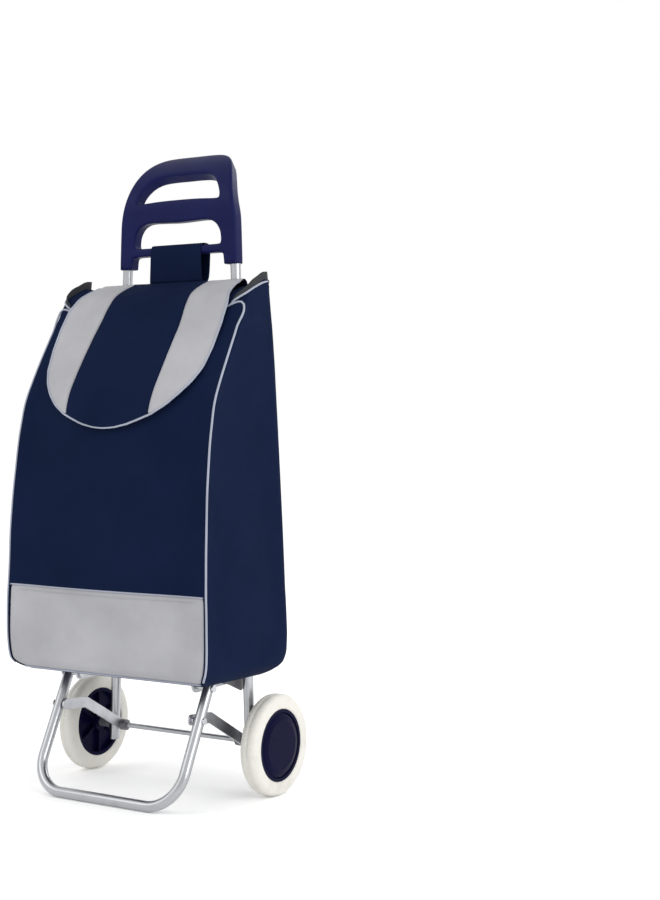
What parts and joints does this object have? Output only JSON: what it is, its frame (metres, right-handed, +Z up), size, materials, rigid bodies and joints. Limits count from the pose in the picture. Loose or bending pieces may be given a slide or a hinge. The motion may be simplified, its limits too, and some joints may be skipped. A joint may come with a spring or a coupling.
{
  "type": "folding shopping trolley",
  "caption": "Folding shopping trolley: soft bag with a flap on a tube frame with a looped handle, folding platform and foot, and wheels on an axle.",
  "frame": {"origin": "centre of the bounding box on the floor", "axes": "+Z up; the bag's front faces -Y and the handle's grip curls back towards +Y; +X is to the right seen from the bag's front"},
  "size_m": [0.3774, 0.2775, 0.9795],
  "materials": {
    "tube_steel": "satin",
    "zinc_steel": "satin",
    "dark_steel": "satin",
    "fastener_steel": "satin",
    "navy_handle": "satin",
    "navy_hub": "gloss",
    "white_tyre": "matte",
    "grey_plastic": "matte",
    "navy_fabric": "matte",
    "grey_fabric": "satin",
    "lining_fabric": "matte",
    "silver_piping": "satin"
  },
  "bodies": {
    "frame": {"left_side_tube": "tube_steel", "right_side_tube": "tube_steel", "upper_crossbar": "tube_steel", "lower_crossbar": "tube_steel", "crossbar_rivets": "fastener_steel", "handle": "navy_handle", "handle_screws": "fastener_steel", "pivot_gussets": "dark_steel", "gusset_bolts": "fastener_steel", "axle": "tube_steel", "axle_collars": "dark_steel", "axle_spacers": "grey_plastic", "axle_push_nuts": "fastener_steel", "bag_body": "navy_fabric", "bag_front_band": "grey_fabric", "bag_lining_rim": "lining_fabric", "bag_loop": "navy_fabric", "bag_piping": "silver_piping", "base_board": "grey_plastic"},
    "flap": {"flap_panel": "navy_fabric", "flap_piping": "silver_piping"},
    "platform": {"left_rail": "zinc_steel", "right_rail": "zinc_steel", "platform_crossbar": "tube_steel", "platform_pins": "fastener_steel"},
    "foot": {"foot_tube": "tube_steel", "foot_bolts": "fastener_steel"},
    "struts": {"left_strut": "zinc_steel", "right_strut": "zinc_steel"},
    "left_wheel": {"left_tyre": "white_tyre", "left_hub": "navy_hub", "left_hub_cap": "navy_hub"},
    "right_wheel": {"right_tyre": "white_tyre", "right_hub": "navy_hub", "right_hub_cap": "navy_hub"}
  },
  "joints": [
    {"name": "platform_fold", "type": "hinge", "parent": "frame", "child": "platform", "pos_m": [0, 0.02475, 0.174], "axis": [-1, 0, 0], "range_deg": [0, 84], "deforming": ["bag_body", "bag_front_band", "bag_piping", "base_board"]},
    {"name": "foot_fold", "type": "hinge", "parent": "platform", "child": "foot", "pos_m": [0, -0.04925, 0.172], "axis": [1, 0, 0], "range_deg": [0, 86]},
    {"name": "strut_fold", "type": "hinge", "parent": "frame", "child": "struts", "pos_m": [0, 0.06275, 0.076], "axis": [-1, 0, 0], "range_deg": [0, 41]},
    {"name": "flap_open", "type": "hinge", "parent": "frame", "child": "flap", "pos_m": [0, 0.04225, 0.7735], "axis": [-1, 0, 0], "range_deg": [0, 110]},
    {"name": "left_wheel_spin", "type": "hinge", "parent": "frame", "child": "left_wheel", "pos_m": [-0.1745, 0.06275, 0.076], "axis": [1, 0, 0], "continuous": true},
    {"name": "right_wheel_spin", "type": "hinge", "parent": "frame", "child": "right_wheel", "pos_m": [0.1745, 0.06275, 0.076], "axis": [1, 0, 0], "continuous": true}
  ],
  "couplings": [
    {"joint": "foot_fold", "follows": "platform_fold", "ratio": 1.0162},
    {"joint": "strut_fold", "follows": "platform_fold", "ratio": 0.4817}
  ]
}
